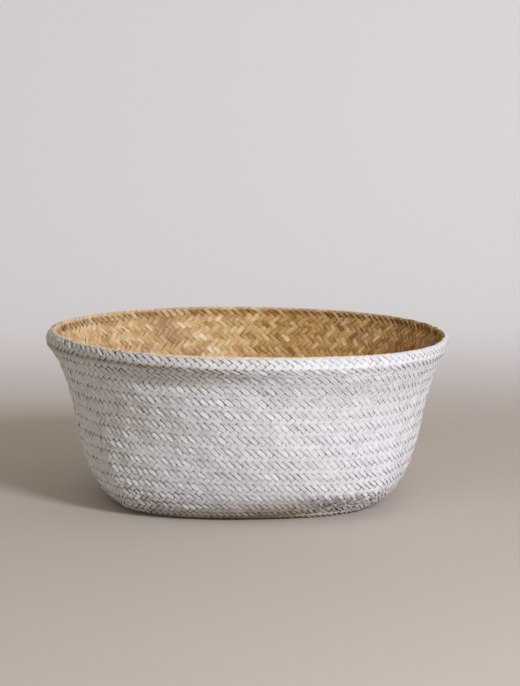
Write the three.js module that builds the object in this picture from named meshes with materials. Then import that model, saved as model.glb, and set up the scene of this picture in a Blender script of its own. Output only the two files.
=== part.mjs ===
// Belly basket with its upper half turned down inside, as one row of plaited zones.
// Millimetres, +Z up, origin on the floor under the middle of the base. +X is the basket's right.
import * as THREE from 'three';

// Driving sizes of the whole basket
const basketHeight = 166;
const lipRadius = 202;
const baseHalfWidth = 120;
const clothThickness = 2.6;
const seamClearance = 0.3;

// The base is a square mat with round corners, and the wall grows round as it rises
const baseCornerPower = 2.6;
const roundHeight = 90;
const cornerFade = 1.5;

// Fold at the rim, where the cloth turns over a soft roll
const foldRadius = 4.8;
const foldOuterDrop = 10;
const foldInnerDrop = 7;
const neckDrop = 14.5;
const neckInset = 3;
const innerNeckInset = 12;
const innerNeckDrop = 12;

// Lining: the turned-in half follows the outer wall down to its mouth, which has a thick plaited border
const liningGap = 10;
const mouthClearance = 1.75;
const mouthHeight = 20;
const borderRadius = 4.5;

// Rope handles lashed to the border
const ropeRadius = 5;
const handleHalfWidth = 52;
const handleReach = 66;
const handleBend = 10;
const handleFootLength = 12;
const handleCrown = 38;
const handleWallClearance = 0.8;

// Cord lashings that hold the handles' feet
const lashingWidth = 8;
const lashingCord = 2.4;
const footClearance = 0.6;

// Counts round the basket, along the cloth and round a rope
const ringSegments = 64;
const foldSteps = 8;
const borderSides = 8;
const ropeSides = 10;
const ropeSteps = 44;
const boreSides = 20;
const lashingSides = 14;
const lashingTailTurn = Math.PI / 5;

// Outer wall from the base's edge to the neck, as shares of the wall's rise and of its spread
const outerWallShares = [
  [0, 0], [0, 0.06], [0.018, 0.18], [0.05, 0.28], [0.1, 0.375], [0.17, 0.465], [0.264, 0.553],
  [0.396, 0.64], [0.561, 0.71], [0.726, 0.78], [0.858, 0.855], [0.95, 0.935], [1, 1],
];

// Gap between the two walls on the way down from the fold, as shares of the drop and of the lining gap
const liningGapShares = [
  [0.09, 0.45], [0.2, 0.36], [0.35, 0.31], [0.535, 0.48], [0.725, 0.74], [0.88, 0.98],
];
const liningFootShare = 0.965;

const paintedCloth = new THREE.MeshStandardMaterial({ color: 0xe6e6ea, roughness: 0.75, metalness: 0 });
const naturalCloth = new THREE.MeshStandardMaterial({ color: 0xd2a768, roughness: 0.7, metalness: 0 });
const naturalRope = new THREE.MeshStandardMaterial({ color: 0xb9935a, roughness: 0.75, metalness: 0 });
const lashingCloth = new THREE.MeshStandardMaterial({ color: 0xa9844e, roughness: 0.75, metalness: 0 });

// Height of the roll's centre line and radius of its middle
const foldCentreHeight = basketHeight - foldRadius;
const foldCentreRadius = lipRadius - foldRadius;
const neckHeight = basketHeight - neckDrop;
const neckRadius = lipRadius - neckInset;
const innerNeckHeight = basketHeight - innerNeckDrop;
const innerNeckRadius = lipRadius - innerNeckInset;
const innerWallFoot = mouthHeight + borderRadius + seamClearance;

// Shown face of the outer wall, and its radius at any height
const outerFace = outerWallShares.map(([rise, spread]) => new THREE.Vector2(
  baseHalfWidth + spread * (neckRadius - baseHalfWidth),
  rise * neckHeight,
));

function outerRadiusAt(height) {
  const above = outerFace.findIndex((point) => point.y > height);
  const low = outerFace[above - 1];
  const high = outerFace[above];
  return low.x + (high.x - low.x) * (height - low.y) / (high.y - low.y);
}

// The border nests just inside the outer wall
const borderOutside = outerRadiusAt(mouthHeight - borderRadius) - clothThickness - mouthClearance;
const mouthRadius = borderOutside - borderRadius;
const innerWallRadius = mouthRadius - clothThickness / 2;

// Corner power of the cross-section at a height: square at the base, a circle from roundHeight up
function cornerPower(height) {
  const squareShare = Math.max(0, 1 - height / roundHeight);
  return 2 + (baseCornerPower - 2) * Math.pow(squareShare, cornerFade);
}

// Draws each round ring of a geometry out to the rounded square of its height
function squareRings(geometry) {
  const place = geometry.attributes.position;
  for (let i = 0; i < place.count; i += 1) {
    const x = place.getX(i);
    const y = place.getY(i);
    const reach = Math.hypot(x, y);
    if (reach > 0) {
      const power = cornerPower(place.getZ(i));
      const sum = Math.pow(Math.abs(x) / reach, power) + Math.pow(Math.abs(y) / reach, power);
      const stretch = Math.pow(sum, -1 / power);
      place.setXY(i, x * stretch, y * stretch);
    }
  }
}

// Closed ring swept from an outline of radius and height
function ringGeometry(outline, squared) {
  const geometry = new THREE.LatheGeometry(outline, ringSegments);
  geometry.rotateX(Math.PI / 2);
  if (squared) {
    squareRings(geometry);
  }
  geometry.computeVertexNormals();
  return geometry;
}

// Outline of a stretch of cloth: its shown face, and back along its hidden face
function clothOutline(shownFace) {
  const hiddenFace = shownFace.map((point, i) => {
    const before = shownFace[Math.max(0, i - 1)];
    const after = shownFace[Math.min(shownFace.length - 1, i + 1)];
    const along = new THREE.Vector2().subVectors(after, before).normalize();
    return new THREE.Vector2(point.x - along.y * clothThickness, point.y + along.x * clothThickness);
  });
  return [...shownFace, ...hiddenFace.reverse(), shownFace[0]];
}

// Shortens a face by the seam clearance at one end, so that neighbouring zones don't touch
function trimEnd(face) {
  const last = face[face.length - 1];
  const previous = face[face.length - 2];
  const step = new THREE.Vector2().subVectors(last, previous);
  step.setLength(step.length() - seamClearance);
  return [...face.slice(0, -1), new THREE.Vector2().addVectors(previous, step)];
}

function addPiece(parent, name, geometry, material) {
  const mesh = new THREE.Mesh(geometry, material);
  mesh.name = name;
  parent.add(mesh);
  return mesh;
}

const basket = new THREE.Group();

// Base: a flat square mat with round corners
function makeBase() {
  const edge = baseHalfWidth - seamClearance;
  const outline = [
    new THREE.Vector2(0, 0),
    new THREE.Vector2(edge, 0),
    new THREE.Vector2(edge, clothThickness),
    new THREE.Vector2(0, clothThickness),
  ];
  addPiece(basket, 'base', ringGeometry(outline, true), paintedCloth);
}

// Outer wall: the painted half, from the base's edge up to the neck
function makeOuterWall() {
  addPiece(basket, 'outer_wall', ringGeometry(clothOutline(trimEnd(outerFace)), true), paintedCloth);
}

// Rim fold: the cloth bulges into a lip, turns over the roll and starts down inside
function makeRimFold() {
  const face = [new THREE.Vector2(neckRadius, neckHeight)];
  face.push(new THREE.Vector2(lipRadius, basketHeight - foldOuterDrop));
  for (let i = 0; i <= foldSteps; i += 1) {
    const turn = Math.PI * i / foldSteps;
    face.push(new THREE.Vector2(
      foldCentreRadius + foldRadius * Math.cos(turn),
      foldCentreHeight + foldRadius * Math.sin(turn),
    ));
  }
  face.push(new THREE.Vector2(lipRadius - 2 * foldRadius, basketHeight - foldInnerDrop));
  face.push(new THREE.Vector2(innerNeckRadius, innerNeckHeight));
  addPiece(basket, 'rim_fold', ringGeometry(clothOutline(trimEnd(face)), false), paintedCloth);
}

// Inner wall: the natural half, turned down inside from the fold to the mouth
function makeInnerWall() {
  const drop = innerNeckHeight - innerWallFoot;
  const face = [new THREE.Vector2(innerNeckRadius, innerNeckHeight)];
  for (const [dropShare, gapShare] of liningGapShares) {
    const height = innerNeckHeight - dropShare * drop;
    const radius = outerRadiusAt(height) - 2 * clothThickness - gapShare * liningGap;
    face.push(new THREE.Vector2(radius, height));
  }
  face.push(new THREE.Vector2(innerWallRadius, innerNeckHeight - liningFootShare * drop));
  face.push(new THREE.Vector2(innerWallRadius, innerWallFoot));
  addPiece(basket, 'inner_wall', ringGeometry(clothOutline(face), false), naturalCloth);
}

// Mouth border: a thick plaited edge round the mouth
function makeMouthBorder() {
  const outline = [];
  for (let i = 0; i <= borderSides; i += 1) {
    const turn = 2 * Math.PI * (i % borderSides) / borderSides - Math.PI / 2;
    outline.push(new THREE.Vector2(
      mouthRadius + borderRadius * Math.cos(turn),
      mouthHeight + borderRadius * Math.sin(turn),
    ));
  }
  addPiece(basket, 'mouth_border', ringGeometry(outline, false), naturalCloth);
}

// The handles hang on a straight line along Y, where their feet just clear the border
const borderInside = mouthRadius - borderRadius;
const legReach = borderInside - ropeRadius - handleWallClearance;
const hingeReach = Math.sqrt(legReach * legReach - handleHalfWidth * handleHalfWidth);
const ropeOnBase = clothThickness + seamClearance + ropeRadius;
const restSlope = Math.asin((mouthHeight - ropeOnBase) / handleReach);

// Rope's path in its own plane: Y along the hinge line, X out to the crown of the loop
function handlePath() {
  const footEnd = handleHalfWidth - handleBend;
  const footStart = footEnd - handleFootLength;
  const legEnd = handleReach - handleCrown;
  const crownPull = 2 / 3;
  const sidePull = legEnd + crownPull * handleCrown;
  const topPull = crownPull * handleHalfWidth;
  const at = (x, y) => new THREE.Vector3(x, y, 0);
  const foot = (end) => [at(0, end * footStart), at(0, end * footEnd)];
  const bend = (end) => [foot(end)[1], at(0, end * handleHalfWidth), at(handleBend, end * handleHalfWidth)];
  const leg = (end) => [bend(end)[2], at(legEnd, end * handleHalfWidth)];
  const crown = (end) => [
    leg(end)[1], at(sidePull, end * handleHalfWidth), at(handleReach, end * topPull), at(handleReach, 0),
  ];
  const path = new THREE.CurvePath();
  path.add(new THREE.LineCurve3(...foot(-1)));
  path.add(new THREE.QuadraticBezierCurve3(...bend(-1)));
  path.add(new THREE.LineCurve3(...leg(-1)));
  path.add(new THREE.CubicBezierCurve3(...crown(-1)));
  path.add(new THREE.CubicBezierCurve3(...crown(1).reverse()));
  path.add(new THREE.LineCurve3(...leg(1).reverse()));
  path.add(new THREE.QuadraticBezierCurve3(...bend(1).reverse()));
  path.add(new THREE.LineCurve3(...foot(1).reverse()));
  return path;
}

function circlePoints(radius, sides, turnShare) {
  const points = [];
  for (let i = 0; i < sides; i += 1) {
    const turn = 2 * Math.PI * (i + turnShare) / sides;
    points.push(new THREE.Vector2(radius * Math.cos(turn), radius * Math.sin(turn)));
  }
  return points;
}

// Handle: one rope loop whose feet turn in along the hinge line
function makeHandle(side, name) {
  const hinge = new THREE.Group();
  hinge.position.set(side * hingeReach, 0, mouthHeight);
  hinge.rotation.set(0, -side * restSlope, 0);
  const section = new THREE.Shape(circlePoints(ropeRadius, ropeSides, 0));
  const geometry = new THREE.ExtrudeGeometry(section, { steps: ropeSteps, extrudePath: handlePath() });
  const loop = addPiece(hinge, name, geometry, naturalRope);
  loop.rotation.set(0, 0, side > 0 ? Math.PI : 0);
  basket.add(hinge);
}

// Ring of a lashing seen along the foot, drawn out on one side into its short tail
function lashingOutline(ringRadius, tailReach) {
  const points = [new THREE.Vector2(tailReach, -lashingCord), new THREE.Vector2(tailReach, lashingCord)];
  for (let i = 0; i <= lashingSides; i += 1) {
    const turn = lashingTailTurn + (2 * Math.PI - 2 * lashingTailTurn) * i / lashingSides;
    points.push(new THREE.Vector2(ringRadius * Math.cos(turn), ringRadius * Math.sin(turn)));
  }
  return points;
}

// Lashing: cord wound round a foot, with its tail drawn out to the border
function makeLashing(side, end, name) {
  const middle = handleHalfWidth - handleBend - handleFootLength / 2;
  const farSide = middle + lashingWidth / 2;
  const borderReach = Math.sqrt(borderInside * borderInside - farSide * farSide);
  const tailReach = borderReach - hingeReach - seamClearance;
  const boreRadius = ropeRadius + footClearance;
  const shape = new THREE.Shape(lashingOutline(boreRadius + lashingCord, tailReach));
  shape.holes.push(new THREE.Path(circlePoints(boreRadius, boreSides, 0.5)));
  const geometry = new THREE.ExtrudeGeometry(shape, { depth: lashingWidth, bevelEnabled: false });
  geometry.translate(0, 0, -lashingWidth / 2);
  geometry.rotateX(Math.PI / 2);
  const mesh = addPiece(basket, name, geometry, lashingCloth);
  mesh.position.set(side * hingeReach, end * middle, mouthHeight);
  mesh.rotation.set(0, 0, side > 0 ? 0 : Math.PI);
}

makeBase();
makeOuterWall();
makeRimFold();
makeInnerWall();
makeMouthBorder();
for (const [side, sideName] of [[1, 'right'], [-1, 'left']]) {
  makeHandle(side, `handle_${sideName}`);
  for (const [end, endName] of [[-1, 'front'], [1, 'back']]) {
    makeLashing(side, end, `lashing_${sideName}_${endName}`);
  }
}

export default basket;
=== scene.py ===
# Belly basket: bias-plaited seagrass, painted white outside, its natural half turned down inside
import math

import bpy
import numpy as np
from mathutils import Matrix, Vector


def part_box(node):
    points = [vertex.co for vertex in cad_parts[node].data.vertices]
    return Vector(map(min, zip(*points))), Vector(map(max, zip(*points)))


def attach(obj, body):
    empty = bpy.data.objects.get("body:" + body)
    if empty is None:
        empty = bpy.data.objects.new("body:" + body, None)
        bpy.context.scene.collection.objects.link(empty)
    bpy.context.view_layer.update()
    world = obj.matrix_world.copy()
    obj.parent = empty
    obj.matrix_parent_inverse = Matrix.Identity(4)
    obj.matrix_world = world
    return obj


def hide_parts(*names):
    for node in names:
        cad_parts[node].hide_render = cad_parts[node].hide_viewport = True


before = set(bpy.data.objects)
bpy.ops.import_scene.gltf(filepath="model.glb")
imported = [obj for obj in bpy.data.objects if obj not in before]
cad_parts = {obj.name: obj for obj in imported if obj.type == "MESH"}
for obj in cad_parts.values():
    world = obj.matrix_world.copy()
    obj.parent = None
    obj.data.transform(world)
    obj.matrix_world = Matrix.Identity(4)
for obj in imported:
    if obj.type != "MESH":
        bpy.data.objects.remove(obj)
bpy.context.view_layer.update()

print("frame loaded, nodes:", len(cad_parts))

for spare in ("Cube", "Light", "Camera"):     # what a new file holds
    if spare in bpy.data.objects:
        bpy.data.objects.remove(bpy.data.objects[spare])

lipRadius, _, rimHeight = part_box("rim_fold")[1]
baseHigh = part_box("base")[1]
cloth = baseHigh.z
borderLow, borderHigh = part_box("mouth_border")
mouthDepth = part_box("inner_wall")[0].z
bead = (borderHigh.z - borderLow.z) / 2
mouthRadius = borderHigh.x - bead
mouthHeight = borderLow.z + bead

basket = {
    "baseHalfWidth": baseHigh.x + 0.0003,   # with the seam to the wall
    "matUnderWall": 0.0015,
    "foldRadius": 0.0048, "foldOuterDrop": 0.010, "foldInnerDrop": 0.007,
    "neckDrop": 0.0145, "neckInset": 0.003, "innerNeckDrop": 0.012, "innerNeckInset": 0.012,
    "liningGap": 0.010,
    "cornerPower": 2.6,     # squareness of the outline at the base
    "outerRow": 0.00305,    # one row of crossings, along the cloth
    "innerRow": 0.00365,
    "foldTurns": 12,
    "pathSteps": 8,
}
ways = {"right": 1.0, "left": -1.0}     # where a family of strands leans to, or where a handle is


# Node helpers. A wire is what a node gives, so that sums of nodes read as plain sums

class Wire:
    def __init__(self, tree, socket):
        self.tree = tree
        self.socket = socket

    def __add__(self, other):
        return calc("ADD", self, other)

    def __sub__(self, other):
        return calc("SUBTRACT", self, other)

    def __rsub__(self, other):
        return calc("SUBTRACT", other, self)

    def __mul__(self, other):
        return calc("MULTIPLY", self, other)

    def __truediv__(self, other):
        return calc("DIVIDE", self, other)

    def __rtruediv__(self, other):
        return calc("DIVIDE", other, self)

    def __pow__(self, power):
        return calc("POWER", self, power)

    def __abs__(self):
        return calc("ABSOLUTE", self)

    __radd__ = __add__
    __rmul__ = __mul__


def plug(node, inputs):
    for key, value in inputs.items():
        if isinstance(value, Wire):
            value.tree.links.new(value.socket, node.inputs[key])
        else:
            node.inputs[key].default_value = value


def addNode(tree, kind, inputs=None, **settings):
    node = tree.nodes.new(kind)
    for key, value in settings.items():
        setattr(node, key, value)
    plug(node, inputs or {})
    return node


def wire(tree, kind, inputs=None, output=0, **settings):
    return Wire(tree, addNode(tree, kind, inputs, **settings).outputs[output])


def wires(tree, kind, inputs=None, **settings):
    node = addNode(tree, kind, inputs, **settings)
    return {socket.name: Wire(tree, socket) for socket in node.outputs}


def treeOf(*values):
    return next(value.tree for value in values if isinstance(value, Wire))


def calc(operation, *values):
    return wire(treeOf(*values), "ShaderNodeMath", dict(enumerate(values)), operation=operation)


def calcOf(operation):
    return lambda *values: calc(operation, *values)


cosine, sine, larger, smaller, isOver = map(
    calcOf, ("COSINE", "SINE", "MAXIMUM", "MINIMUM", "GREATER_THAN"))


def between(share, ends):
    return share * (ends[1] - ends[0]) + ends[0]


def near(value, middle, reach):     # 1 at the middle, fading over the reach
    away = (value - middle) / reach
    return 1.0 / (away * away + 1.0)


def combine(x, y, z):
    return wire(treeOf(x, y, z), "ShaderNodeCombineXYZ", {0: x, 1: y, 2: z})


def split(vector):
    return list(wires(vector.tree, "ShaderNodeSeparateXYZ", {0: vector}).values())


def vectorCalc(operation, first, second):
    return wire(treeOf(first, second), "ShaderNodeVectorMath", {0: first, 1: second}, operation=operation)


def scaled(vector, size):
    return wire(vector.tree, "ShaderNodeVectorMath", {0: vector, "Scale": size}, operation="SCALE")


def noise(place, detail, scale=1.0, roughness=0.5, output=0):
    return wire(place.tree, "ShaderNodeTexNoise",
                {"Vector": place, "Scale": scale, "Detail": detail, "Roughness": roughness}, output)


def ranged(value, ends, **settings):     # from and to, then what these become, otherwise 0 and 1
    low, high, least, most = (*ends, 0.0, 1.0)[:4]
    return wire(value.tree, "ShaderNodeMapRange", {
        "Value": value, "From Min": low, "From Max": high, "To Min": least, "To Max": most,
    }, **settings)


def rgba(colour):
    return (*colour, 1) if isinstance(colour, tuple) else colour


def mixColour(share, first, second, blend="MIX"):
    return wire(treeOf(share, first, second), "ShaderNodeMix",
                {0: share, 6: rgba(first), 7: rgba(second)}, 2, data_type="RGBA", blend_type=blend)


def addSockets(tree, way, sockets):     # a number gives an input its kind and its value
    kinds = {int: "Int", float: "Float"}
    for label, value in sockets.items():
        kind = kinds.get(type(value), value)
        socket = tree.interface.new_socket(name=label, in_out=way, socket_type="NodeSocket" + kind)
        if type(value) in kinds:
            socket.default_value = value


def newTree(name, inputs, outputs=None):     # a geometry tree, or a shader group where outputs are named
    tree = bpy.data.node_groups.new(name, "ShaderNodeTree" if outputs else "GeometryNodeTree")
    addSockets(tree, "INPUT", inputs)
    addSockets(tree, "OUTPUT", outputs or {"Geometry": "Geometry"})
    return tree, wires(tree, "NodeGroupInput")


def named(tree, name, dataType="FLOAT"):
    return wire(tree, "GeometryNodeInputNamedAttribute", {"Name": name}, "Attribute", data_type=dataType)


def store(geometry, values, dataType="FLOAT"):
    for name, value in values.items():
        geometry = wire(geometry.tree, "GeometryNodeStoreNamedAttribute",
                        {"Geometry": geometry, "Name": name, "Value": value}, data_type=dataType)
    return geometry


def copiesOf(tree, count, label, thing):
    line = wire(tree, "GeometryNodeMeshLine", {"Count": count, "Offset": (0, 0, 0)})
    numbered = store(line, {label: wire(tree, "GeometryNodeInputIndex")})
    copies = wire(tree, "GeometryNodeInstanceOnPoints", {"Points": numbered, "Instance": thing})
    return wire(tree, "GeometryNodeRealizeInstances", {"Geometry": copies})


def closeTree(tree, geometry, material):
    real = wire(tree, "GeometryNodeRealizeInstances", {"Geometry": geometry})
    dressed = wire(tree, "GeometryNodeSetMaterial", {"Geometry": real, "Material": material})
    addNode(tree, "NodeGroupOutput", {0: dressed})
    return tree


def addObject(name, data):
    thing = bpy.data.objects.new(name, data)
    bpy.context.scene.collection.objects.link(thing)
    return thing


def makePiece(name, tree, values):
    holder = addObject(name + "_maker", bpy.data.meshes.new(name + "_maker"))
    modifier = holder.modifiers.new("maker", "NODES")
    modifier.node_group = tree
    for item in tree.interface.items_tree:
        if item.in_out == "INPUT" and item.name in values:
            modifier[item.identifier] = values[item.name]
    bpy.context.view_layer.update()
    seen = holder.evaluated_get(bpy.context.evaluated_depsgraph_get())
    mesh = bpy.data.meshes.new_from_object(seen)
    holder.modifiers.clear()
    bpy.data.objects.remove(holder)
    mesh.name = name
    print("  %s: %d faces" % (name, len(mesh.polygons)))
    return addObject(name, mesh)


def dress(piece, body, slotName, *nodes):
    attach(piece, body)
    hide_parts(*nodes)


# Finishes. Every strand carries where a point lies on it (place), its tone, fleck, depth and paint

fibres = {
    "toneShift": 53.0, "broadAcross": 0.6, "broadAlong": 0.45,
    "fineNoise": {"detail": 2.5, "roughness": 0.6}, "broadNoise": {"detail": 2.0},
}


def fibreLinesGroup():
    tree, give = newTree("fibreLines", {
        "Place": "Vector", "Tone": 0.5, "Across": 4.0, "Along": 0.5, "Twist": 0.0,
    }, {"Lines": "Float", "Blotch": "Float"})
    angle = split(give["Place"])[2] * give["Twist"]
    x, y, z = split(wire(tree, "ShaderNodeVectorRotate", {"Vector": give["Place"], "Angle": angle},
                         rotation_type="Z_AXIS"))
    shift = give["Tone"] * fibres["toneShift"]
    fine = combine(x * give["Across"], y * give["Across"], z * give["Along"] + shift)
    broad = combine(x * fibres["broadAcross"], y + shift, z * fibres["broadAlong"])
    lines = noise(fine, **fibres["fineNoise"])
    addNode(tree, "NodeGroupOutput", {"Lines": lines, "Blotch": noise(broad, **fibres["broadNoise"])})
    return tree


straw = {
    "shares": {"Tone": 0.55, "Fleck": 0.8, "Lines": 0.9, "Blotch": 1.1, "Patch": 0.8},
    "shades": [(0.0, (0.25, 0.105, 0.028)), (0.22, (0.43, 0.215, 0.060)), (0.42, (0.55, 0.325, 0.115)),
               (0.60, (0.66, 0.445, 0.195)), (0.80, (0.77, 0.600, 0.340)), (1.0, (0.84, 0.720, 0.500))],
    "olive": (0.46, 0.37, 0.12), "oliveShare": 0.35, "oliveStep": 7.3,
    "pink": (0.62, 0.42, 0.28), "pinkShare": 0.14, "pinkStep": 13.7,
}


def strawToneGroup():
    tree, give = newTree("strawTone", {
        "Tone": 0.5, "Fleck": 0.5, "Lines": 0.5, "Blotch": 0.5, "Patch": 0.5, "Spread": 1.0, "Lift": 0.0,
    }, {"Color": "Color"})
    level = sum((give[name] - 0.5) * share for name, share in straw["shares"].items())
    level = level * give["Spread"] + give["Lift"] + 0.5
    ramp = addNode(tree, "ShaderNodeValToRGB", {0: level})
    stops = ramp.color_ramp.elements
    while len(stops) < len(straw["shades"]):
        stops.new(0.5)
    for stop, (spot, shade) in zip(stops, straw["shades"]):
        stop.position = spot
        stop.color = rgba(shade)
    # Some strands are greener, some pinker
    greener = calc("FRACT", give["Tone"] * straw["oliveStep"]) * give["Blotch"] * straw["oliveShare"]
    pinker = calc("FRACT", give["Tone"] * straw["pinkStep"]) * straw["pinkShare"]
    colour = mixColour(greener, Wire(tree, ramp.outputs[0]), straw["olive"])
    addNode(tree, "NodeGroupOutput", {"Color": mixColour(pinker, colour, straw["pink"])})
    return tree


def gapShadeGroup():
    tree, give = newTree("gapShade", {
        "Depth": 1.0, "Low": 0.0, "High": 0.5, "Lines": 0.5, "Ragged": 0.5,
    }, {"Open": "Float"})
    depth = (give["Lines"] - 0.5) * give["Ragged"] + give["Depth"]
    fade = ranged(depth, (give["Low"], give["High"]), interpolation_type="SMOOTHSTEP")
    addNode(tree, "NodeGroupOutput", {"Open": fade})
    return tree


effects = {"fibreLines": fibreLinesGroup(), "strawTone": strawToneGroup(), "gapShade": gapShadeGroup()}


def useEffect(tree, name, inputs):
    return wires(tree, "ShaderNodeGroup", inputs, node_tree=effects[name])


def attribute(tree, name, output="Fac"):
    return wire(tree, "ShaderNodeAttribute", output=output, attribute_name=name)


def objectPlace(tree):
    return wire(tree, "ShaderNodeTexCoord", output="Object")


def newFinish(name):
    material = bpy.data.materials.new(name)
    material.use_nodes = True
    tree = material.node_tree
    return material, tree, tree.nodes["Principled BSDF"]


# What is named after a side changes along the basket's width, right is positive
strawLook = {
    "across": 1.8, "along": 0.35, "twist": 0.0,
    "patchNoise": {"detail": 2.0, "scale": 9.0}, "crustNoise": {"detail": 3.0, "scale": 520.0},
    # Painted shade: the straw is darker toward the right and in the middle of the width (middleShade)
    "spread": 1.0, "lift": -0.10, "sideShift": -0.75,    # the straw is darker toward the right
    "middle": -0.03, "middleShade": (0.14, 0.02, 0.0, 0.09),
    # Painted shade: the crevices, and by edgeShare the strands' edges, are darkened by a multiply colour,
    # less toward the left (gapSide)
    "gap": (-0.30, 0.42), "gapShadeColour": (0.36, 0.24, 0.13), "gapSide": (0.08, -0.14, 0.95, 0.6175),
    "edge": (0.45, 0.70), "edgeShare": 0.0,
    # Painted light: the straw turns paler toward the left
    "pale": (0.70, 0.52, 0.35), "paleSide": (0.02, -0.2, 0.0, 0.30),
    "rough": 0.52, "roughSpread": 0.25, "specular": 0.35, "bump": 0.55, "bumpDepth": 0.0004,
    "crust": 0.5, "fibre": 1.0,
}
paint = {
    "colour": (0.83, 0.835, 0.86), "shade": (0.64, 0.635, 0.64), "shadeSpread": 0.48, "shadeFleck": 1.25,
    "thin": (0.67, 0.83, 0.0, 0.5), "thinLines": 0.5, "thinCrust": 0.7, "thinColour": (0.46, 0.38, 0.29),
    # Painted highlight: the straw at the crest's top turns cream, less so at the far right
    "cream": (0.88, 0.74, 0.56), "creamBelow": (-6.5, 0.5), "creamSide": (0.18, 0.11, 0.2, 0.85),
    "edge": (4.3, 5.1), "edgeRagged": 1.8, "edgeStep": 2.0, "edgeSlant": 17.0, "edgeMiddle": -0.03,
    # Painted shade under the lip and over the lip, mostly on the left
    "neck": 15.0, "neckReach": (7.5, 2.5), "neckSide": (0.06, -0.06, 0.0, 0.50),
    "lip": (12.0, 7.0), "lipSide": (0.0, -0.10, 0.04, 0.34), "lipShadeColour": (0.48, 0.415, 0.34),
    # Painted shade at the foot: the paint turns warm brown and its gaps near black, weaker toward the far
    # left and right
    "foot": (0.026, 0.003), "footLeft": (-0.12, 0.0, 0.25, 1.0), "footRight": (0.12, 0.04, 0.25, 1.0),
    "footShadeShare": 0.95, "footShadeColour": (0.37, 0.272, 0.165),
    # Painted shade in the crevices, over the unpainted straw there, near black at the foot
    "gapShadeColour": (0.17, 0.135, 0.105), "footGapShade": (0.07, 0.05, 0.035),
    # The painted shade in the gaps fades out toward the right, unevenly, and stays under the lip and at the
    # foot
    "gapShadeClear": (-0.10, 0.14, 0.0, 0.97), "gapShadeClearNoise": {"detail": 2.0, "scale": 90.0}, "gapShadeClearUneven": 0.5,
    "openNeckRight": (0.13, 0.16), "openNeckLeft": (0.02, -0.04), "openFoot": (0.078, 0.026),
}
looks = {
    "painted_seagrass": dict(strawLook, across=2.0, along=0.24, gap=(0.0, 0.62),
                             rough=0.80, specular=0.25, bump=1.0, bumpDepth=0.0006,
                             crust=1.2, crustNoise={"detail": 3.0, "scale": 620.0}, fibre=3.2,
                             paint=paint),
    "natural_seagrass": dict(strawLook, edgeShare=0.20),
    "natural_border": dict(strawLook, across=1.4, along=160.0, twist=400.0),
    "seagrass_rope": dict(strawLook, across=2.2, along=120.0, twist=650.0, lift=-0.02,
                          rough=0.65, spread=0.8),
    "lashing_cord": dict(strawLook, across=1.6, along=300.0, twist=1800.0, lift=-0.08,
                         rough=0.7, spread=0.7),
}


def paintOver(paint, colour, tone, fleck, lines, blotch, crust, openShare):
    tree = colour.tree
    side, _, height = split(objectPlace(tree))
    below = attribute(tree, "paint")                       # millimetres below the crest
    # Painted highlight: cream on the straw at the crest's top
    crestHighlight = ranged(below, paint["creamBelow"]) * ranged(side, paint["creamSide"])
    colour = mixColour(crestHighlight, colour, paint["cream"])

    shaded = (fleck - 0.5) * paint["shadeFleck"] + blotch * paint["shadeSpread"]
    thin = ranged(lines * paint["thinLines"] + crust * paint["thinCrust"], paint["thin"])
    coat = mixColour(thin, mixColour(shaded, paint["colour"], paint["shade"]), paint["thinColour"])

    # Painted shade: grey-brown under the lip and over the lip, both mostly on the left, and warm brown at the
    # foot
    atNeck = ranged(abs(below - paint["neck"]), paint["neckReach"])
    atFoot = ranged(height, paint["foot"])
    neckShade = atNeck * ranged(side, paint["neckSide"])
    lipShade = ranged(below, paint["lip"]) * ranged(side, paint["lipSide"])
    # Painted shade at the foot, weaker toward the far left and right
    footShade = ranged(side, paint["footLeft"]) * ranged(side, paint["footRight"]) * paint["footShadeShare"]
    coat = mixColour(larger(neckShade, lipShade), coat, paint["lipShadeColour"])
    coat = mixColour(atFoot * footShade, coat, paint["footShadeColour"])

    # Painted shade in the gaps, dark unpainted straw in the crevices with shade on it: it fades out unevenly
    # toward the right, but stays under the lip and at the foot
    uneven = (noise(objectPlace(tree), **paint["gapShadeClearNoise"]) - 0.5) * paint["gapShadeClearUneven"]
    openNeck = atNeck * larger(ranged(side, paint["openNeckRight"]), ranged(side, paint["openNeckLeft"]))
    gapShadeKept = larger(openNeck, ranged(height, paint["openFoot"]))
    gapShadeCleared = ranged(uneven + side, paint["gapShadeClear"]) * (1.0 - gapShadeKept)
    gapShadeColour = mixColour(atFoot, paint["gapShadeColour"], paint["footGapShade"])
    coat = mixColour(larger(openShare, gapShadeCleared), gapShadeColour, coat)

    # Each strand's paint ends at its own height, and further up toward the left and right
    limit = lines * paint["edgeRagged"] + tone * paint["edgeStep"] + below
    limit = limit + abs(side - paint["edgeMiddle"]) * paint["edgeSlant"]
    return mixColour(ranged(limit, paint["edge"]), colour, coat)


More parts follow.
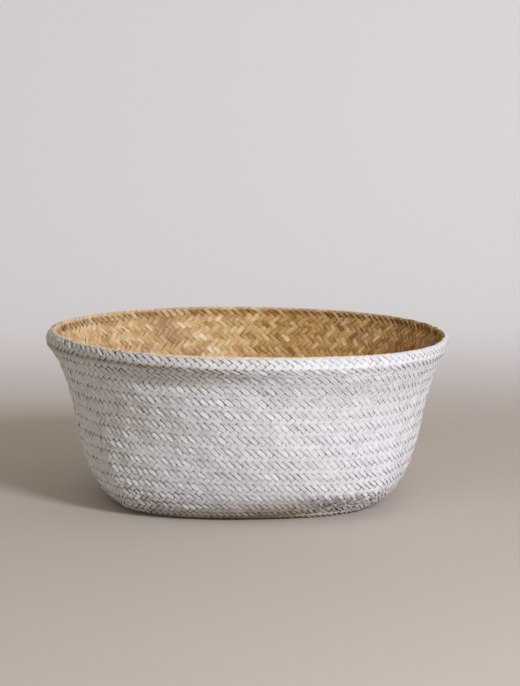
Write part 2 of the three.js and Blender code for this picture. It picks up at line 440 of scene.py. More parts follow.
def strandFinish(name, look):
    material, tree, shader = newFinish(name)
    tone, fleck, depth = (attribute(tree, label) for label in ("tone", "fleck", "depth"))
    place = attribute(tree, "place", "Vector")
    drawn = useEffect(tree, "fibreLines", {
        "Place": place, "Tone": tone,
        "Across": look["across"], "Along": look["along"], "Twist": look["twist"]})
    lines, blotch = drawn["Lines"], drawn["Blotch"]
    patch = noise(objectPlace(tree), **look["patchNoise"])
    crust = noise(objectPlace(tree), **look["crustNoise"])
    side = split(objectPlace(tree))[0]
    # Painted shade: the straw is darker toward the right and in the middle of the width
    middle = ranged(abs(side - look["middle"]), look["middleShade"])
    colour = useEffect(tree, "strawTone", {
        "Tone": tone, "Fleck": fleck, "Lines": lines, "Blotch": blotch, "Patch": patch,
        "Spread": look["spread"], "Lift": side * look["sideShift"] + look["lift"] - middle})["Color"]
    # Painted light: paler toward the left
    colour = mixColour(ranged(side, look["paleSide"]), colour, look["pale"])
    # Painted shade in the crevices and along the strands' edges, lighter toward the left
    openShare = useEffect(tree, "gapShade", {
        "Depth": depth, "Low": look["gap"][0], "High": look["gap"][1], "Lines": lines})["Open"]
    gap = mixColour(ranged(side, look["gapSide"]), colour, look["gapShadeColour"], "MULTIPLY")
    edgeShade = ranged(abs(split(place)[0]), look["edge"]) * look["edgeShare"]
    colour = mixColour(openShare - edgeShade, gap, colour)
    if "paint" in look:
        colour = paintOver(look["paint"], colour, tone, fleck, lines, blotch, crust, openShare)
    bump = wire(tree, "ShaderNodeBump", {
        "Strength": look["bump"], "Distance": look["bumpDepth"],
        "Height": crust * look["crust"] + lines * look["fibre"]})
    rough = (lines - 0.5) * look["roughSpread"] + look["rough"]
    plug(shader, {"Base Color": colour, "Roughness": rough, "Normal": bump,
                  "Specular IOR Level": look["specular"]})
    return material


finishes = {name: strandFinish(name, look) for name, look in looks.items()}
print("finishes made")


# The cloth's path: radius and height of its shown face, from the base's edge over the fold to the mouth

outerWallShares = [     # share of the height, share of the spread
    (0, 0), (0, 0.06), (0.018, 0.18), (0.05, 0.28), (0.1, 0.375), (0.17, 0.465), (0.264, 0.553),
    (0.396, 0.64), (0.561, 0.71), (0.726, 0.78), (0.858, 0.855), (0.95, 0.935), (1, 1),
]
liningGapShares = [     # share of the drop, share of the gap behind the lining
    (0.09, 0.45), (0.2, 0.36), (0.35, 0.31), (0.535, 0.48), (0.725, 0.74), (0.88, 0.98),
]
liningFootShare = 0.965


def outerFace():
    neckRadius = lipRadius - basket["neckInset"]
    neckHeight = rimHeight - basket["neckDrop"]
    spreadRoom = neckRadius - basket["baseHalfWidth"]
    return [(basket["baseHalfWidth"] + spread * spreadRoom, rise * neckHeight)
            for rise, spread in outerWallShares]


def foldFace():
    fold = basket["foldRadius"]
    middle = lipRadius - fold
    top = rimHeight - fold
    turns = [math.pi * i / basket["foldTurns"] for i in range(basket["foldTurns"] + 1)]
    arch = [(middle + fold * math.cos(turn), top + fold * math.sin(turn)) for turn in turns]
    start = (lipRadius, rimHeight - basket["foldOuterDrop"])
    end = (middle - fold, rimHeight - basket["foldInnerDrop"])
    return [start, *arch, end]


def innerFace():
    radii, heights = zip(*outerFace())
    neck = rimHeight - basket["innerNeckDrop"]
    drop = neck - mouthDepth
    face = [(lipRadius - basket["innerNeckInset"], neck)]
    for dropShare, gapShare in liningGapShares:
        height = neck - dropShare * drop
        outer = float(np.interp(height, heights, radii))
        face.append((outer - 2 * cloth - gapShare * basket["liningGap"], height))
    footRadius = mouthRadius - cloth / 2
    footHeights = (neck - liningFootShare * drop, mouthDepth, mouthHeight)
    return face + [(footRadius, height) for height in footHeights]


def smoothPath(points, steps):     # an even curve through the points
    line = [np.array(p) for p in (points[0], *points, points[-1])]
    dense = []
    for before, start, end, after in zip(line, line[1:], line[2:], line[3:]):
        span = np.linalg.norm(end - start)
        pullIn = (end - before) * span / (span + np.linalg.norm(start - before))
        pullOut = (after - start) * span / (span + np.linalg.norm(after - end))
        for t in np.arange(steps) / steps:
            dense.append((2 * t**3 - 3 * t**2 + 1) * start + (t**3 - 2 * t**2 + t) * pullIn
                         + (3 * t**2 - 2 * t**3) * end + (t**3 - t**2) * pullOut)
    return np.array(dense + [line[-1]])


def polyCurve(name, points, closed=False, twist="MINIMUM"):
    curve = bpy.data.curves.new(name, "CURVE")
    curve.dimensions = "3D"
    curve.twist_mode = twist
    spline = curve.splines.new("POLY")
    spline.points.add(len(points) - 1)
    spline.points.foreach_set("co", [c for p in points for c in (*p, 1.0)])
    spline.use_cyclic_u = closed
    return addObject(name, curve)


path = smoothPath(outerFace() + foldFace() + innerFace(), basket["pathSteps"])
pathLengths = np.concatenate([[0], np.cumsum(np.linalg.norm(np.diff(path, axis=0), axis=1))])
pathCurve = polyCurve("cloth_path", [(r, 0, z) for r, z in path])


def lengthAt(inset, drop):     # along the cloth to the point this far in from the lip and down from the top
    radius, height = lipRadius - inset, rimHeight - drop
    return float(pathLengths[np.argmin(np.hypot(path[:, 0] - radius, path[:, 1] - height))])


def innerRowAt(length):
    return crestRow + (length - crestLength) / basket["innerRow"]


def snapRow(row):     # the plait's points fall between its crossings
    return math.floor(row * 2) / 2 + 0.25


crestLength = lengthAt(basket["foldRadius"], 0)
crestRow = crestLength / basket["outerRow"]
neckRow = snapRow(lengthAt(basket["neckInset"], basket["neckDrop"]) / basket["outerRow"])
middleRow = snapRow(neckRow / 2)
innerNeckRow = snapRow(innerRowAt(lengthAt(basket["innerNeckInset"], basket["innerNeckDrop"])))
lastRow = snapRow(innerRowAt(float(pathLengths[-1])) - 0.5)     # ends inside the border
print("cloth path: %.1f mm, rows to the crest %.1f, rows in all %.1f"
      % (pathLengths[-1] * 1000, crestRow, lastRow))


# How the real cloth has settled: a tilted rim, a dent under the lip and soft ridges over the base's corners.
# Turns are in radians, 0 faces the viewer and right is positive

settled = {
    # The rim stands above and below its drawn height: count, start, size
    "rimWaves": [
        (0, 0.0, 0.0011), (1, -1.90, 0.0030), (2, -0.37, 0.0009), (3, 0.10, 0.0006), (4, 0.29, 0.0004),
    ],
    "tiltFrom": 0.02,                                    # the rim's tilt starts this high up
    "sag": {"turn": 0.72, "spread": 0.45, "depth": 0.0045, "heights": (0.003, 0.03)},
    "slump": {"turn": 0.0, "spread": 0.95, "depth": 0.0030, "heights": (0.130, 0.158), "inset": 0.012},
    "waves": [(2, 0.6, 0.0009), (3, 1.9, 0.0006), (5, 0.4, 0.0004)], "waveRise": (0.1, 0.7),
    # Bulges and dents: turn, spread, height, rise, out, slope
    "swells": [
        (-0.57, 0.285, 0.1425, 0.0095, -0.0094, -0.016),
        (-0.04, 0.26, 0.1500, 0.007, 0.0029, -0.010),
        (0.36, 0.30, 0.144, 0.016, 0.0050, 0.0),
        (0.84, 0.36, 0.142, 0.018, 0.0046, 0.0),
        (0.56, 0.36, 0.005, 0.019, -0.0080, 0.0),
        (0.64, 0.26, 0.029, 0.0075, 0.0032, 0.0),
        (0.64, 0.26, 0.015, 0.0070, -0.0032, 0.0),
        (-1.50, 0.50, 0.150, 0.010, 0.0034, 0.0),
        (-1.60, 0.55, 0.128, 0.022, 0.0024, 0.0),
        (1.60, 0.40, 0.150, 0.010, -0.0020, 0.0),
        (2.80, 0.60, 0.140, 0.014, 0.0030, 0.0),
        (-0.42, 0.26, 0.060, 0.034, -0.0030, 0.0),
        (0.30, 0.30, 0.050, 0.030, -0.0012, 0.0),
    ],
    # Over the base's corners: turn at the foot, turn at the top, top, out
    "ridges": [
        (-0.78, -0.90, 0.105, 0.0042), (0.80, 0.95, 0.070, 0.0036),
        (2.34, 2.20, 0.090, 0.0036), (-2.34, -2.50, 0.080, 0.0034),
    ],
    "ridgeFoot": 0.004, "ridgeWidth": 0.13, "ridgeFade": (0.4, 1.2),
    "ripples": {"waves": 16, "counts": (9, 46), "slope": 260}, "rippleDepth": 0.00010,
    "creases": {"waves": 12, "counts": (40, 120), "slope": 800},
    # Where the creases crumple the corners: turn, spread, height, rise, depth
    "crumples": [(-0.74, 0.22, 0.014, 0.014, 0.00032), (0.64, 0.28, 0.014, 0.016, 0.00076)],
    "footFade": (0.0, 0.006),
    "liningFade": (0.030, 0.075),                        # the lining keeps still at the mouth
    "rest": 0.0002,                                      # the wall's foot lies flat on the floor
    "seed": 5,
}


def smoothStep(value, low, high):
    t = np.clip((value - low) / (high - low), 0, 1)
    return t * t * (3 - 2 * t)


def turnGap(turn, centre):
    return (turn - centre + np.pi) % (2 * np.pi) - np.pi


def bell(value, spread):
    return np.exp(-(value / spread) ** 2)


def slantedWaves(draw, spec, turn, height):
    total = np.zeros_like(turn)
    for _ in range(spec["waves"]):
        count = draw.integers(*spec["counts"])
        phase, slope = draw.uniform(0, 2 * np.pi), draw.uniform(-spec["slope"], spec["slope"])
        total += np.cos(count * turn + slope * height + phase)
    return total


def settleShift(turn, height):
    rise = smoothStep(np.clip(height / rimHeight, 0, 1), *settled["waveRise"])
    shift = rise * sum(depth * np.cos(count * (turn - start)) for count, start, depth in settled["waves"])
    for centre, spread, level, reach, out, slope in settled["swells"]:
        aside = turnGap(turn, centre)
        shift += out * bell(aside, spread) * bell(height - level - slope * aside, reach)
    for footTurn, topTurn, top, out in settled["ridges"]:
        foot = settled["ridgeFoot"]
        up = np.clip((height - foot) / (top - foot), 0, 1)
        fade = 1 - smoothStep(height / top, *settled["ridgeFade"])
        aside = np.abs(turnGap(turn, footTurn + (topTurn - footTurn) * up))
        shift += out * fade * np.exp(-aside / settled["ridgeWidth"])
    draw = np.random.default_rng(settled["seed"])
    shift += settled["rippleDepth"] * slantedWaves(draw, settled["ripples"], turn, height)
    creases = slantedWaves(draw, settled["creases"], turn, height)
    for centre, spread, level, reach, depth in settled["crumples"]:
        shift += creases * depth * bell(turnGap(turn, centre), spread) * bell(height - level, reach)
    return shift


def settleDrop(turn, height, reach):
    rise = smoothStep(height, settled["tiltFrom"], rimHeight)
    lift = sum(size * np.cos(count * (turn - start)) for count, start, size in settled["rimWaves"])
    low, lip = (part["depth"] * bell(turnGap(turn, part["turn"]), part["spread"])
                * smoothStep(height, *part["heights"]) for part in (settled["sag"], settled["slump"]))
    atLip = smoothStep(reach, lipRadius - settled["slump"]["inset"], lipRadius)
    return low * (1 - rise) - lift * rise + lip * atLip


def settle(piece, lining):
    mesh = piece.data
    points = np.empty(len(mesh.vertices) * 3, dtype=np.float32)
    mesh.vertices.foreach_get("co", points)
    x, y, z = points.reshape(-1, 3).astype(np.float64).T
    reach = np.hypot(x, y)
    turn = np.arctan2(x, -y)
    shift = settleShift(turn, z) * smoothStep(z, *settled["footFade"])
    drop = settleDrop(turn, z, reach)
    if lining:
        shift *= smoothStep(z, *settled["liningFade"])
        drop *= smoothStep(z, *settled["liningFade"])
    grown = (reach + shift) / reach
    low = np.maximum(z - drop, settled["rest"])
    moved = np.stack([x * grown, y * grown, low], 1)
    mesh.vertices.foreach_set("co", moved.astype(np.float32).ravel())
    mesh.update()


# Weave. Every strand starts as a straight cylinder, which its tree bends along the cloth

variation = {
    "widths": (0.92, 1.08), "toneSeed": 7.0,
    "wander": {"apart": 3.71, "along": 0.42, "seed": 0.0, "detail": 2.0},
    "twist": {"apart": 5.13, "along": 0.33, "seed": 40.0, "detail": 1.0},
}
opening = {     # rows past the crest (at the foot, rows up), then the rows it takes to fade
    "crest": (0.0, 3.0), "foot": (0.0, 8.0), "neck": (-5.0, 1.4), "dent": (-7.5, 2.8), "end": (1.8, 1.6),
    "dentSide": (-1.95, 6.0), "endSide": (0.6, 3.0),     # turn from the right, sharpness
    "corners": 4.0,
}
loosened = {     # on the plait's tight side, on its loose side
    "lift": (0.4, 1.8), "roll": (0.3, 1.0), "tilt": (0.1, 2.0), "neck": (0.3, 1.0),
}
coating = {"none": -200.0, "full": 100.0, "unit": 1000.0}     # in millimetres below the crest
innerSide = -0.1     # a strand's section runs from -1 inside to 1 outside the cloth
roundPower = 2.0     # the power of a round outline, squarer above it


def archHeight(row, lean, steepness):     # over two and under two: 1 over, -1 under
    swing = cosine((row - 0.5) * (math.pi / 2)) * (lean * steepness)
    return smaller(larger(swing, -1.0), 1.0)


def hypotenuse(x, y):
    return calc("SQRT", x * x + y * y)


def squareStretch(turn, power):
    return (abs(cosine(turn)) ** power + abs(sine(turn)) ** power) ** (-1.0 / power)


def rounded(value, power):     # a lower power gives a fuller section
    return calc("SIGN", value) * abs(value) ** power


def facing(bearing, turn, power):
    return larger(cosine(bearing - turn), 0.0) ** power


def curvePoint(curve, length):
    point = wires(curve.tree, "GeometryNodeSampleCurve", {"Curves": curve, "Length": length}, mode="LENGTH")
    return split(point["Position"]), split(point["Tangent"])


def strandBlank(tree, give):
    tube = wire(tree, "GeometryNodeMeshCylinder", {
        "Vertices": give["Sides"], "Side Segments": give["Steps"], "Radius": 1.0, "Depth": 1.0,
    }, "Mesh", fill_type="NGON")
    blank = copiesOf(tree, give["Strands"], "strand", tube)
    side, up, along = split(wire(tree, "GeometryNodeInputPosition"))
    blank = store(blank, {"side": side, "face": up, "reach": along})
    return blank, [named(tree, name) for name in ("strand", "side", "face", "reach")]


def randomValue(key, seed, ends=(0.0, 1.0)):
    return wire(key.tree, "FunctionNodeRandomValue", {2: ends[0], 3: ends[1], "ID": key, "Seed": seed},
                1, data_type="FLOAT")


def strandNoise(strand, along, seed, spec):     # three values about 0.5
    place = combine(strand * spec["apart"], along * spec["along"], seed + spec["seed"])
    colour = noise(place, spec["detail"], output="Color")
    return list(wires(strand.tree, "FunctionNodeSeparateColor", {0: colour}).values())[:3]


def strandVariation(seed, strand, along):
    width = randomValue(strand, seed, variation["widths"])
    tone = randomValue(strand, seed + variation["toneSeed"])
    wander, swell, raised = strandNoise(strand, along, seed, variation["wander"])
    tilt, fleck, _ = strandNoise(strand, along, seed, variation["twist"])
    return width, tone, wander - 0.5, swell - 0.5, raised - 0.5, tilt - 0.5, fleck


def closeStrands(give, blank, spot, place, values):
    shape = store(store(blank, {"place": place}, "FLOAT_VECTOR"), values)
    moved = wire(blank.tree, "GeometryNodeSetPosition", {"Geometry": shape, "Position": spot})
    return closeTree(blank.tree, moved, give["Material"])


def plaitedWallTree():     # one family of strands, on a wall that is round from the round height up
    tree, give = newTree("plaitedWall", {
        "Path": "Object", "Strands": 150, "Sides": 8, "Steps": 60, "Lean": 1.0,
        "First Row": 0.0, "Last Row": 30.0, "Outer Row": 0.003, "Inner Row": 0.0036, "Crest Row": 60.0,
        "Width Share": 0.9, "Thickness": 0.0012, "Side Round": 0.3, "Face Round": 0.3, "Middle": 0.0013,
        "Wander": 0.0008, "Swell": 0.7, "Wave": 0.0005, "Steepness": 2.4, "Phase": 1.0, "Row Noise": 0.35,
        "Lift Noise": 0.0005, "Roll": 0.0, "Tilt": 0.9, "Loose": 0.12, "Loose Wave": 2.2,
        "Foot Gap": 0.30, "Foot Wave": 1.3, "Crest Gap": 0.04, "Crest Wave": -0.45,
        "Corner Gap": 0.36, "Corner Wave": 1.4, "Dent Gap": 0.12, "Dent Wave": 0.8,
        "Neck Gap": 0.28, "End Gap": 0.34, "Corner Power": 2.0, "Round Height": 0.09, "Corner Fade": 1.5,
        "Seed": 1, "Material": "Material",
    })
    lean = give["Lean"]
    blank, (strand, side, up, reach) = strandBlank(tree, give)
    row = (reach + 0.5) * (give["Last Row"] - give["First Row"]) + give["First Row"]
    fromCrest = row - give["Crest Row"]
    width, tone, wander, swell, raised, tilt, fleck = strandVariation(give["Seed"], strand, row)

    # The step from crossing to crossing, round and up, and the room it leaves for a strand
    curve = wire(tree, "GeometryNodeObjectInfo", {"Object": give["Path"]}, "Geometry")
    length = smaller(row, give["Crest Row"]) * give["Outer Row"] + larger(fromCrest, 0.0) * give["Inner Row"]
    rowStep = isOver(row, give["Crest Row"]) * (give["Inner Row"] - give["Outer Row"]) + give["Outer Row"]
    pitch = 2 * math.pi / give["Strands"]
    (radius, _, _), _ = curvePoint(curve, length)
    halfStep = pitch * 0.5 * radius
    slant = hypotenuse(halfStep, rowStep)
    spacing = halfStep * rowStep * 2.0 / slant

    # The plait is loose on its left side and tight on its right
    bearing = (row * 0.5 * lean + strand) * pitch
    sideways = cosine(bearing)
    loose = sideways * -0.5 + 0.5
    # It opens at the foot and over the base's corners, at the crest and past its right end, and under the
    # lip at both sides, and the dent has loosened it
    atFoot = near(row, *opening["foot"])
    opened = {
        "Foot": atFoot,
        "Crest": near(fromCrest, *opening["crest"]),
        "Corner": larger(cosine(bearing * opening["corners"] + math.pi), 0.0) * atFoot,
        "End": near(fromCrest, *opening["end"]) * facing(bearing, *opening["endSide"]),
        "Neck": near(fromCrest, *opening["neck"]) * between(sideways * sideways, loosened["neck"]),
        "Dent": near(fromCrest, *opening["dent"]) * facing(bearing, *opening["dentSide"]),
    }
    share = give["Width Share"] - loose * give["Loose"]
    for name, amount in opened.items():
        share = share - amount * give[name + " Gap"]
    breadth = spacing * share * width * (swell * give["Swell"] + 1.0)
    across = rounded(side, give["Side Round"]) * breadth * 0.5 + wander * give["Wander"]
    turn = bearing + across * rowStep / (slant * radius)
    reached = length - across * lean * halfStep / slant
    face, heading = curvePoint(curve, reached)

    wave = loose * give["Loose"] * give["Loose Wave"] + 1.0
    for name in ("Foot", "Crest", "Corner", "Dent"):
        wave = wave + opened[name] * give[name + " Wave"]
    uneven = swell * give["Row Noise"] + (row - give["Phase"])
    middle = archHeight(uneven, lean, give["Steepness"]) * (give["Wave"] * wave)
    middle = middle + raised * give["Lift Noise"] * between(loose, loosened["lift"])
    roll = give["Roll"] * between(loose, loosened["roll"]) * (1.0 - opened["Crest"])
    roll = roll + tilt * between(loose, loosened["tilt"]) * give["Tilt"]
    lift = rounded(up, give["Face Round"]) * give["Thickness"] * 0.5 + across * roll + middle
    offset = lift - give["Middle"]
    height = face[2] - heading[0] * offset
    squareShare = larger(1.0 - height / give["Round Height"], 0.0) ** give["Corner Fade"]
    power = squareShare * (give["Corner Power"] - roundPower) + roundPower
    out = (heading[2] * offset + face[0]) * squareStretch(turn, power)
    spot = combine(out * cosine(turn), out * sine(turn), height)

    # Only the outer side of the cloth is painted
    outer = isOver(up, innerSide)
    belowCrest = (give["Crest Row"] * give["Outer Row"] - reached) * coating["unit"]
    return closeStrands(give, blank, spot, combine(side, up, row * slant / spacing), {
        "tone": tone, "fleck": fleck, "depth": lift * (outer * 2.0 - 1.0) / give["Middle"],
        "paint": (belowCrest - coating["none"]) * outer + coating["none"],
    })


def plaitedMatTree():
    tree, give = newTree("plaitedMat", {
        "Strands": 75, "Sides": 6, "Steps": 110, "Lean": 1.0, "Half Width": 0.12, "Width Share": 0.96,
        "Thickness": 0.001, "Side Round": 0.6, "Face Round": 0.7, "Middle": 0.0013, "Wander": 0.0004,
        "Swell": 0.3, "Wave": 0.00042, "Steepness": 1.4, "Lift Noise": 0.0002, "Tilt": 0.6,
        "Corner Power": 2.6, "Seed": 1, "Material": "Material",
    })
    lean = give["Lean"]
    blank, (strand, side, up, reach) = strandBlank(tree, give)
    half = give["Strands"] / 2.0
    across = (strand + 0.5 - half) / half
    along = reach * 2.0 * calc("SQRT", 1.0 - across * across)
    row = along * half + (half - 0.5)
    width, tone, wander, swell, raised, tilt, fleck = strandVariation(give["Seed"], strand, row)
    breadth = give["Width Share"] / give["Strands"] * width * (swell * give["Swell"] + 1.0)
    across = across + rounded(side, give["Side Round"]) * breadth * 2.0
    across = across + wander * give["Wander"] / give["Half Width"]
    # The two families lie along the mat's two diagonals
    turn = calc("ARCTAN2", across, along) + lean * (math.pi / 4)
    spread = hypotenuse(along, across)
    stretch = (squareStretch(turn, give["Corner Power"]) - 1.0) * (spread * spread) + 1.0
    out = spread * give["Half Width"] * stretch
    # Counted along the other family, so that both agree on which strand lies over
    step = row - strand * lean - (1.0 - lean) * 0.5
    middle = archHeight(step, lean, give["Steepness"]) * give["Wave"] + raised * give["Lift Noise"]
    middle = middle + tilt * side * give["Thickness"] * give["Tilt"]
    lift = rounded(up, give["Face Round"]) * give["Thickness"] * 0.5 + middle
    spot = combine(out * cosine(turn), out * sine(turn), lift + give["Middle"])
    return closeStrands(give, blank, spot, combine(side, up, row), {
        "tone": tone, "fleck": fleck, "depth": lift * calc("SIGN", up) / give["Middle"],
        "paint": up * -coating["full"],
    })


def laidCordTree():     # a fold of 1 lays the plies round each other, a fold of 2 braids them flat
    tree, give = newTree("laidCord", {
        "Path": "Object", "Plies": 3, "Ply Radius": 0.0027, "Sides": 10, "Wide": 0.0025, "High": 0.0025,
        "Fold": 1.0, "Shift": math.pi / 2, "Turns": 8.0, "Ply Noise": 0.0002, "Noise Along": 90.0,
        "Noise Apart": 9.3, "Seed": 1, "Material": "Material",
    })
    curve = wire(tree, "GeometryNodeObjectInfo", {"Object": give["Path"]}, "Geometry")
    parameter = wires(tree, "GeometryNodeSplineParameter")
    curve = store(curve, {"share": parameter["Factor"], "along": parameter["Length"]})
    plies = copiesOf(tree, give["Plies"], "ply", curve)
    share, along, ply = (named(tree, name) for name in ("share", "along", "ply"))
    angle = (share * give["Turns"] + ply / give["Plies"]) * (2 * math.pi)
    side = wire(tree, "GeometryNodeInputNormal")
    top = vectorCalc("CROSS_PRODUCT", wire(tree, "GeometryNodeInputTangent"), side)
    wide = scaled(side, sine(angle) * give["Wide"])
    high = scaled(top, sine(angle * give["Fold"] + give["Shift"]) * give["High"])
    noisePlace = combine(along * give["Noise Along"], ply * give["Noise Apart"], give["Seed"])
    jitter = vectorCalc("SUBTRACT", noise(noisePlace, detail=2.0, output="Color"), (0.5, 0.5, 0.5))
    offset = vectorCalc("ADD", vectorCalc("ADD", wide, high), scaled(jitter, give["Ply Noise"]))
    moved = wire(tree, "GeometryNodeSetPosition", {"Geometry": plies, "Offset": offset})
    ring = wire(tree, "GeometryNodeCurvePrimitiveCircle",
                {"Resolution": give["Sides"], "Radius": give["Ply Radius"]})
    ringSize = combine(give["Ply Radius"], give["Ply Radius"], 1.0)
    around = vectorCalc("DIVIDE", wire(tree, "GeometryNodeInputPosition"), ringSize)
    ring = store(ring, {"ring": around}, "FLOAT_VECTOR")
    body = wire(tree, "GeometryNodeCurveToMesh", {"Curve": moved, "Profile Curve": ring, "Fill Caps": True})
    place = vectorCalc("ADD", named(tree, "ring", "FLOAT_VECTOR"), combine(0.0, 0.0, along))
    body = store(body, {"place": place}, "FLOAT_VECTOR")
    body = store(body, {"tone": randomValue(ply, give["Seed"]), "fleck": 0.5, "depth": 1.0})
    return closeTree(tree, wire(tree, "GeometryNodeSetShadeSmooth", {0: body}), give["Material"])


trees = {"wall": plaitedWallTree(), "mat": plaitedMatTree(), "cord": laidCordTree()}
print("weave trees built")

plait = {
    "outer": {
        "right": {"Width Share": 1.24, "Thickness": 0.0009, "Loose": 0.17, "Tilt": 0.5, "Lift Noise": 0.0003},
        "left": {"Width Share": 1.03, "Thickness": 0.0010, "Roll": -0.20, "Loose": 0.20},
    },
    "inner": {
        "right": {"Width Share": 1.03, "Thickness": 0.0011, "Roll": 0.10, "Loose": 0.0},
        "left": {"Width Share": 0.99, "Thickness": 0.0011, "Roll": -0.10, "Loose": 0.0},
    },
    "cornerPower": {"outer": basket["cornerPower"], "inner": roundPower},
    "stepsPerRow": 2, "firstRow": 0.25, "seeds": {"right": 3, "left": 11},
}


def plaitWall(name, way, first, last, face, slotName):
    piece = makePiece(name, trees["wall"], {
        "Path": pathCurve, "Steps": round((last - first) * plait["stepsPerRow"]), "Lean": ways[way],
        "First Row": first, "Last Row": last, "Middle": cloth / 2, "Crest Row": crestRow,
        "Outer Row": basket["outerRow"], "Inner Row": basket["innerRow"],
        "Corner Power": plait["cornerPower"][face], "Seed": plait["seeds"][way],
        "Material": finishes[slotName], **plait[face][way],
    })
    settle(piece, lining=face == "inner")
    return piece


zones = [     # piece, first and last row, face, material slot, node
    ("outer_wall_%s_low", plait["firstRow"], middleRow, "outer", "painted_seagrass", "outer_wall"),
    ("outer_wall_%s_high", middleRow, neckRow, "outer", "painted_seagrass", "outer_wall"),
    ("rim_fold_%s", neckRow, innerNeckRow, "outer", "painted_seagrass", "rim_fold"),
    ("inner_wall_%s", innerNeckRow, lastRow, "inner", "natural_seagrass", "inner_wall"),
]
print("plaiting the walls")
for way in ways:
    for name, first, last, face, slotName, node in zones:
        piece = plaitWall(name % way, way, first, last, face, slotName)
        dress(piece, "basket", slotName, node)

print("plaiting the base")
for way, lean in ways.items():
    piece = makePiece("base_" + way, trees["mat"], {
        "Lean": lean, "Middle": cloth / 2, "Corner Power": basket["cornerPower"],
        "Half Width": basket["baseHalfWidth"] + basket["matUnderWall"],
        "Seed": plait["seeds"][way], "Material": finishes["painted_seagrass"]})
    dress(piece, "basket", "painted_seagrass", "base")

bpy.data.objects.remove(pathCurve)


def layCord(name, path, body, slotName, node, cordLook):
    piece = makePiece(name, trees["cord"], {"Path": path, "Material": finishes[slotName], **cordLook})
    dress(piece, body, slotName, node)
    bpy.data.objects.remove(path)


# Mouth border: a three-strand braid round the mouth
print("braiding the mouth border")
border = {"Ply Radius": 0.0022, "Wide": 0.0022, "High": 0.0012, "Turns": 30.0, "Fold": 2.0, "Shift": 0.0,
          "Seed": 4}
borderPoints = 900
borderTurns = [2 * math.pi * i / borderPoints for i in range(borderPoints)]
mouthPath = polyCurve("mouth_path", [
    (mouthRadius * math.cos(turn), mouthRadius * math.sin(turn), mouthHeight) for turn in borderTurns],
    closed=True, twist="Z_UP")
layCord("mouth_border_braid", mouthPath, "basket", "natural_border", "mouth_border", border)

# Handles: laid rope loops that lie down on the base inside
handle = {
    "ropeRadius": 0.005, "halfWidth": 0.052, "reach": 0.066, "bend": 0.010, "footLength": 0.012,
    "crown": 0.038, "crownPull": 2 / 3, "wallClearance": 0.0008, "floorClearance": 0.0003,
    "steps": (8, 8, 10, 24), "turnLength": 0.024,        # steps on the foot, bend, leg and crown
}
rope = {"Wide": 0.0024, "High": 0.0024, "Sides": 12, "Seed": 8}


def bezier(points, steps):
    degree = len(points) - 1
    spots = []
    for t in (k / steps for k in range(steps)):
        parts = (Vector(p) * math.comb(degree, i) * (1 - t) ** (degree - i) * t ** i
                 for i, p in enumerate(points))
        spots.append(sum(parts, Vector((0, 0))))
    return spots


def handleLoop():
    half, bend, reach = handle["halfWidth"], handle["bend"], handle["reach"]
    footEnd = half - bend
    legEnd = reach - handle["crown"]
    pull = handle["crownPull"]
    parts = [
        [(0, footEnd - handle["footLength"]), (0, footEnd)],
        [(0, footEnd), (0, half), (bend, half)],
        [(bend, half), (legEnd, half)],
        [(legEnd, half), (legEnd + pull * handle["crown"], half), (reach, pull * half), (reach, 0)],
    ]
    side = [spot for points, steps in zip(parts, handle["steps"]) for spot in bezier(points, steps)]
    back = [Vector((p.x, -p.y)) for p in reversed(side)]
    return side + [Vector((reach, 0))] + back


borderInside = mouthRadius - bead
legReach = borderInside - handle["ropeRadius"] - handle["wallClearance"]
hingeReach = math.sqrt(legReach ** 2 - handle["halfWidth"] ** 2)
ropeOnBase = cloth + handle["floorClearance"] + handle["ropeRadius"]
restSlope = math.asin((mouthHeight - ropeOnBase) / handle["reach"])
print("making the handles")
for sideName, side in ways.items():
    hinge = Matrix.Translation((side * hingeReach, 0, mouthHeight))
    place = hinge @ Matrix.Rotation(-side * restSlope, 4, "Y")
    loop = [place @ Vector((-side * p.x, p.y, 0)) for p in handleLoop()]
    ropePath = polyCurve("rope_path", loop, twist="Z_UP")
    ropeLength = sum((b - a).length for a, b in zip(loop, loop[1:]))
    name = "handle_" + sideName
    layCord(name + "_rope", ropePath, name, "seagrass_rope", name,
            dict(rope, Turns=ropeLength / handle["turnLength"]))

# Lashings: cord wound round a handle's foot and the border together
lashing = {"turns": 4, "cordRadius": 0.0011, "plyShare": 0.62, "layShare": 0.5, "pitch": 0.0022,
           "clearance": 0.0005, "pointsPerTurn": 40}
layRadius = lashing["cordRadius"] * lashing["layShare"]
cord = {"Plies": 2, "Ply Radius": lashing["cordRadius"] * lashing["plyShare"], "Wide": layRadius,
        "High": layRadius, "Sides": 6, "Turns": 60.0, "Ply Noise": 0.0, "Seed": 12}


def lashingLoop(side, end):
    middle = handle["halfWidth"] - handle["bend"] - handle["footLength"] / 2
    footRing = handle["ropeRadius"] + lashing["clearance"] + lashing["cordRadius"]
    borderRing = bead + lashing["cordRadius"]
    apart = math.sqrt(mouthRadius ** 2 - middle ** 2) - hingeReach
    slope = math.asin((footRing - borderRing) / apart)
    points = []
    for k in range(lashing["turns"] * lashing["pointsPerTurn"] + 1):
        wound = k / lashing["pointsPerTurn"]
        turn = 2 * math.pi * (wound % 1)
        over = turn < math.pi / 2 - slope or turn > 3 * math.pi / 2 + slope
        centre, ring = (apart, borderRing) if over else (0, footRing)
        points.append((side * (hingeReach + centre + ring * math.cos(turn)),
                       end * middle + lashing["pitch"] * (wound - lashing["turns"] / 2),
                       mouthHeight + ring * math.sin(turn)))
    return points


print("winding the lashings")
for sideName, side in ways.items():
    for endName, end in (("front", -1), ("back", 1)):
        name = "lashing_%s_%s" % (sideName, endName)
        cordPath = polyCurve("cord_path", lashingLoop(side, end))
        layCord(name + "_cord", cordPath, "basket", "lashing_cord", name, cord)

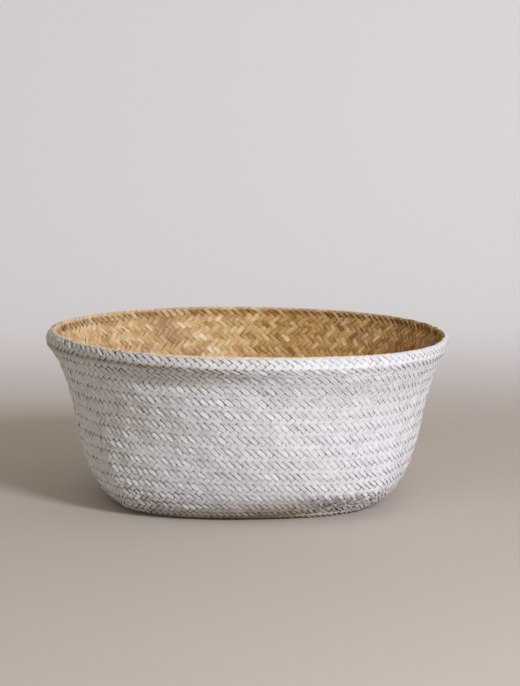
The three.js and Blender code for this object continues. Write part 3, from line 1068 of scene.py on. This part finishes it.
# Stage: a pale floor that curves up into a pale wall
stage = {"halfWide": 4.0, "front": -4.0, "bend": 1.1, "bendRadius": 0.6, "bendSteps": 16, "top": 3.0,
         "floor": (0.52, 0.47, 0.41), "wall": (0.92, 0.91, 0.94), "fade": (0.3, 1.3),
         "rough": 0.9, "specular": 0.1}


def makeStage():
    profile = [(stage["front"], 0.0), (stage["bend"], 0.0)]
    for i in range(1, stage["bendSteps"] + 1):
        turn = math.pi / 2 * i / stage["bendSteps"]
        profile.append((stage["bend"] + stage["bendRadius"] * math.sin(turn),
                        stage["bendRadius"] * (1 - math.cos(turn))))
    profile.append((profile[-1][0], stage["top"]))
    points = [(x, y, z) for y, z in profile for x in (-stage["halfWide"], stage["halfWide"])]
    faces = [(2 * i, 2 * i + 1, 2 * i + 3, 2 * i + 2) for i in range(len(profile) - 1)]
    mesh = bpy.data.meshes.new("studio_floor")
    mesh.from_pydata(points, [], faces)
    for face in mesh.polygons:
        face.use_smooth = True
    material, tree, shader = newFinish("studio_floor")
    share = ranged(split(objectPlace(tree))[1], stage["fade"], interpolation_type="SMOOTHSTEP")
    plug(shader, {"Base Color": mixColour(share, stage["floor"], stage["wall"]),
                  "Roughness": stage["rough"], "Specular IOR Level": stage["specular"]})
    # Clear from behind, so that the basket's back can be looked at
    clear = wire(tree, "ShaderNodeBsdfTransparent")
    behind = wire(tree, "ShaderNodeNewGeometry", output="Backfacing")
    mixed = wire(tree, "ShaderNodeMixShader", {0: behind, 1: Wire(tree, shader.outputs[0]), 2: clear})
    plug(tree.nodes["Material Output"], {"Surface": mixed})
    mesh.materials.append(material)
    addObject("studio_floor", mesh)


makeStage()

# Camera: the photograph's view
view = {
    "imageHeight": 686, "focalPixels": 1976.0, "distance": 1.976, "sideShift": 0.0115,
    "rimHeight": 0.165, "rimAngle": math.radians(7.05), "rimBelowCentre": -12.0,
    "sensorHeight": 36.0, "farEnd": 50.0,
}


def placeCamera():
    camera = addObject("camera", bpy.data.cameras.new("camera"))
    camera.data.sensor_fit = "VERTICAL"
    camera.data.sensor_height = view["sensorHeight"]
    camera.data.lens = view["focalPixels"] * view["sensorHeight"] / view["imageHeight"]
    camera.location = (view["sideShift"], -view["distance"],
                       view["rimHeight"] + view["distance"] * math.tan(view["rimAngle"]))
    pitch = view["rimAngle"] + math.atan(-view["rimBelowCentre"] / view["focalPixels"])
    camera.rotation_euler = (math.pi / 2 - pitch, 0, 0)
    camera.data.clip_end = view["farEnd"]
    bpy.context.scene.camera = camera


placeCamera()

# Light: one large soft lamp from the right, and a dim sky
light = {"turn": math.radians(36), "rise": math.radians(27), "distance": 2.4, "size": 0.5, "power": 42.0,
         "colour": (0.955, 0.975, 1.09), "sky": (0.97, 0.885, 0.76), "skyStrength": 0.475,
         "aim": (0, 0, 0.09)}


def placeLights():
    lamp = addObject("window_lamp", bpy.data.lights.new("window_lamp", "AREA"))
    lamp.data.energy = light["power"]
    lamp.data.size = light["size"]
    lamp.data.color = light["colour"]
    aim = Vector(light["aim"])
    level = math.cos(light["rise"]) * light["distance"]
    lamp.location = aim + Vector((level * math.sin(light["turn"]), -level * math.cos(light["turn"]),
                                  light["distance"] * math.sin(light["rise"])))
    lamp.rotation_euler = (aim - lamp.location).to_track_quat("-Z", "Y").to_euler()
    world = bpy.data.worlds.new("studio_sky")
    bpy.context.scene.world = world
    world.use_nodes = True
    plug(world.node_tree.nodes["Background"],
         {"Color": rgba(light["sky"]), "Strength": light["skyStrength"]})


placeLights()
bpy.context.scene.view_settings.view_transform = "Standard"
print("stage, camera and light set")
